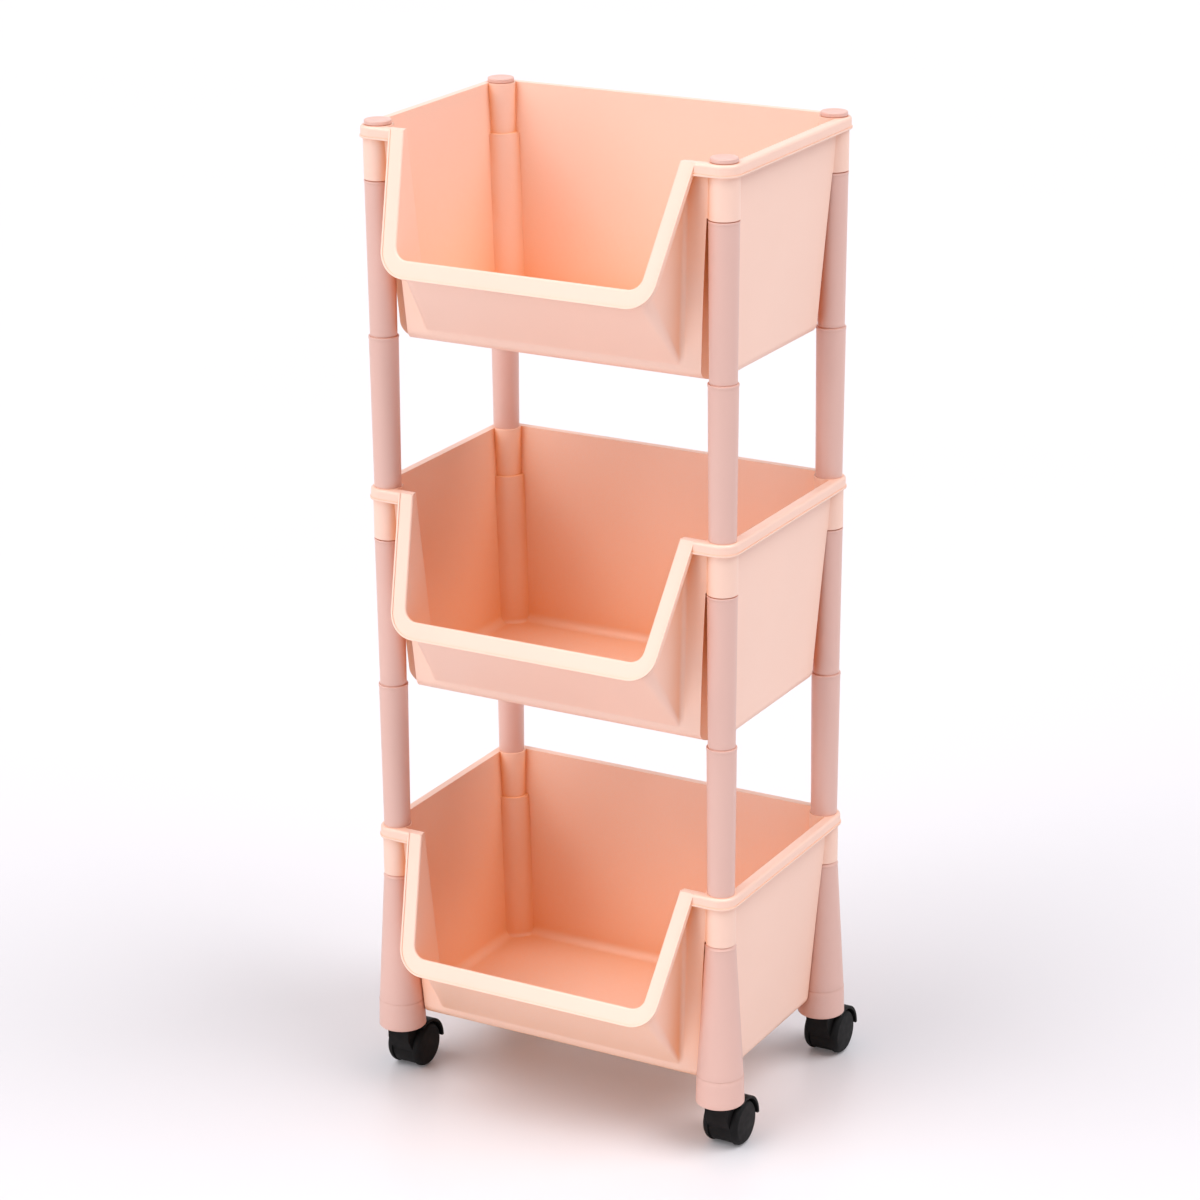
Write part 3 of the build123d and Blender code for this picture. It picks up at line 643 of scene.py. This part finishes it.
class CART_OT_castor_wheels(bpy.types.Operator):
    """Model the castor wheels, each with a tread, a rounded shoulder and a grooved disc"""

    bl_idname = "cart.castor_wheels"
    bl_label = "Castor wheels"

    def execute(self, context):
        sizes = context.scene.cart_castors
        finishes = context.scene.cart_finishes
        plastic = material_named(
            "Wheel plastic, black", black_plastic, finishes.wheel_colour,
            finishes.black_roughness, finishes,
        )
        cone = (sizes.outer_side - sizes.face_side) / (sizes.face_radius - sizes.flat_radius)
        groove_middle = sizes.groove_radius - sizes.groove_width / 2
        groove_inner = sizes.groove_radius - sizes.groove_width

        def face_at(radius):
            """Distance of the disc's face from the middle, at a radius."""
            return sizes.face_side + cone * (sizes.face_radius - radius)

        outline = (
            (sizes.bore_radius, sizes.inner_side),
            (sizes.hub_radius, sizes.inner_side),
            (sizes.hub_radius, sizes.web_side),
            (sizes.rim_inner_radius, sizes.web_side),
            (sizes.rim_inner_radius, sizes.inner_side),
            (sizes.wheel_radius, sizes.inner_side),
            (sizes.wheel_radius, sizes.tread_end),
            (sizes.face_radius, sizes.face_side),
            (sizes.groove_radius, face_at(sizes.groove_radius)),
            (groove_middle, face_at(groove_middle) - sizes.groove_depth),
            (groove_inner, face_at(groove_inner)),
            (sizes.flat_radius, sizes.outer_side),
            (0.0, sizes.outer_side),
            (0.0, sizes.bore_end),
            (sizes.bore_radius, sizes.bore_end),
        )
        for corner in CORNERS:
            stem_middle = middle_of(f"castor_stem_{corner}")
            for side, turn in (("left", -pi / 2), ("right", pi / 2)):
                node = f"wheel_{side}_{corner}"
                middle = middle_of(node)
                bm = bmesh.new()
                spin_outline(bm, outline)
                round_ring(
                    bm, sizes.wheel_radius, sizes.tread_end, sizes.shoulder_rounding, SHOULDER_SEGMENTS
                )
                bmesh.ops.rotate(bm, verts=bm.verts, matrix=Matrix.Rotation(turn, 3, "Y"))
                centre = (stem_middle.x, middle.y, middle.z)
                bmesh.ops.translate(bm, verts=bm.verts, vec=centre)
                piece = new_object(f"castor_wheel_{side}_{corner}", bm, plastic)
                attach(piece, f"{side}_wheel_{corner}")
                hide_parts(node)
        return {"FINISHED"}


class CART_OT_steel(bpy.types.Operator):
    """Show the castor stems and axles in plated steel"""

    bl_idname = "cart.steel"
    bl_label = "Castor steel"

    def execute(self, context):
        finishes = context.scene.cart_finishes
        steel = material_named(
            "Castor steel, zinc plated", plated_steel, finishes.steel_colour, finishes.steel_roughness
        )
        for corner in CORNERS:
            give_material(f"castor_stem_{corner}", steel)
            give_material(f"castor_axle_{corner}", steel)
        return {"FINISHED"}


def add_sun(name, azimuth, elevation, strength, softness, tint):
    """A soft lamp far away, shining from an azimuth and elevation."""
    data = bpy.data.lights.new(name, "SUN")
    data.energy = strength
    data.angle = radians(softness)
    data.color = tint
    lamp = bpy.data.objects.new(name, data)
    lamp.matrix_world = (
        Matrix.Rotation(radians(azimuth), 4, "Z") @ Matrix.Rotation(pi / 2 - radians(elevation), 4, "X")
    )
    bpy.context.scene.collection.objects.link(lamp)


def floor_material(stage):
    """Pale floor that takes shadows, lifted a little for the camera alone."""
    material, tree, shader, place = start_material("Floor, pale")
    clouds = noise(tree, place, **FLOOR_CLOUDS)
    clouded = shade_of(tree, remap(tree, clouds, 0, 1), stage.floor_colour, FLOOR_SPREAD)
    tree.links.new(clouded, shader.inputs["Base Color"])
    shader.inputs["Roughness"].default_value = FLOOR_ROUGHNESS
    path = add_node(tree, "ShaderNodeLightPath")
    lift = add_node(tree, "ShaderNodeMath", operation="MULTIPLY")
    lift.inputs[1].default_value = stage.floor_lift
    tree.links.new(path.outputs["Is Camera Ray"], lift.inputs[0])
    tree.links.new(lift.outputs["Value"], shader.inputs["Emission Strength"])
    shader.inputs["Emission Color"].default_value = (*stage.floor_colour, 1)
    return material


def world_light(stage):
    """Even white light, with the pale background for the camera, glossy and clear rays."""
    world = bpy.data.worlds.new("Studio")
    bpy.context.scene.world = world
    world.use_nodes = True
    tree = world.node_tree
    light = tree.nodes["Background"]
    light.inputs["Color"].default_value = (1, 1, 1, 1)
    light.inputs["Strength"].default_value = stage.world_light
    seen = add_node(tree, "ShaderNodeBackground")
    seen.inputs["Color"].default_value = (*stage.background, 1)
    path = add_node(tree, "ShaderNodeLightPath")
    camera_or_clear = add_node(tree, "ShaderNodeMath", operation="MAXIMUM")
    tree.links.new(path.outputs["Is Camera Ray"], camera_or_clear.inputs[0])
    tree.links.new(path.outputs["Is Transmission Ray"], camera_or_clear.inputs[1])
    seen_directly = add_node(tree, "ShaderNodeMath", operation="MAXIMUM")
    tree.links.new(camera_or_clear.outputs["Value"], seen_directly.inputs[0])
    tree.links.new(path.outputs["Is Glossy Ray"], seen_directly.inputs[1])
    mix = add_node(tree, "ShaderNodeMixShader")
    tree.links.new(seen_directly.outputs["Value"], mix.inputs["Fac"])
    tree.links.new(light.outputs["Background"], mix.inputs[1])
    tree.links.new(seen.outputs["Background"], mix.inputs[2])
    tree.links.new(mix.outputs["Shader"], tree.nodes["World Output"].inputs["Surface"])


class CART_OT_stage(bpy.types.Operator):
    """Set up the floor, the studio light and the camera"""

    bl_idname = "cart.stage"
    bl_label = "Stage"

    def execute(self, context):
        scene = context.scene
        stage = scene.cart_stage
        bm = bmesh.new()
        bmesh.ops.create_grid(bm, x_segments=1, y_segments=1, size=stage.floor_size / 2)
        mesh = bpy.data.meshes.new("studio_floor")
        bm.to_mesh(mesh)
        bm.free()
        mesh.materials.append(floor_material(stage))
        floor = bpy.data.objects.new("studio_floor", mesh)
        scene.collection.objects.link(floor)
        world_light(stage)
        for lamp in LAMPS:
            add_sun(*lamp)
        data = bpy.data.cameras.new("Camera")
        data.lens = stage.camera_lens
        data.sensor_width = SENSOR_WIDTH
        data.clip_end = CLIP_END
        camera = bpy.data.objects.new("Camera", data)
        camera.matrix_world = (
            Matrix.Translation(Vector((stage.camera_x, -stage.camera_back, stage.camera_z)))
            @ Matrix.Rotation(stage.camera_azimuth, 4, "Z")
            @ Matrix.Rotation(pi / 2 - stage.camera_elevation, 4, "X")
            @ Matrix.Rotation(stage.camera_roll, 4, "Z")
        )
        scene.collection.objects.link(camera)
        scene.camera = camera
        scene.view_settings.view_transform = "Standard"
        return {"FINISHED"}


OPERATORS = (
    CART_OT_stage,
    CART_OT_bins,
    CART_OT_tubes,
    CART_OT_caps,
    CART_OT_legs,
    CART_OT_castor_bodies,
    CART_OT_castor_wheels,
    CART_OT_steel,
)


class CART_PT_panel(bpy.types.Panel):
    """Panel with the steps and the sizes of the cart"""

    bl_idname = "CART_PT_panel"
    bl_label = "Rolling storage cart"
    bl_space_type = "VIEW_3D"
    bl_region_type = "UI"
    bl_category = "Cart"

    def draw(self, context):
        layout = self.layout
        for step in OPERATORS:
            layout.operator(step.bl_idname)
        for group in SETTINGS:
            settings = getattr(context.scene, group)
            box = layout.box()
            for name in settings.bl_rna.properties.keys():
                if name not in ("rna_type", "name"):
                    box.prop(settings, name)


SETTINGS = {
    "cart_poles": CartPoleSizes,
    "cart_castors": CartCastorSizes,
    "cart_finishes": CartFinishes,
    "cart_stage": CartStage,
}


def register():
    for name, group in SETTINGS.items():
        bpy.utils.register_class(group)
        setattr(bpy.types.Scene, name, bpy.props.PointerProperty(type=group))
    for step in OPERATORS:
        bpy.utils.register_class(step)
    bpy.utils.register_class(CART_PT_panel)


def unregister():
    bpy.utils.unregister_class(CART_PT_panel)
    for step in reversed(OPERATORS):
        bpy.utils.unregister_class(step)
    for name, group in SETTINGS.items():
        delattr(bpy.types.Scene, name)
        bpy.utils.unregister_class(group)


def main():
    """Dress the cart."""
    register()
    bpy.ops.cart.stage()
    bpy.ops.cart.bins()
    bpy.ops.cart.tubes()
    bpy.ops.cart.caps()
    bpy.ops.cart.legs()
    bpy.ops.cart.castor_bodies()
    bpy.ops.cart.castor_wheels()
    bpy.ops.cart.steel()


if __name__ == "__main__":
    main()
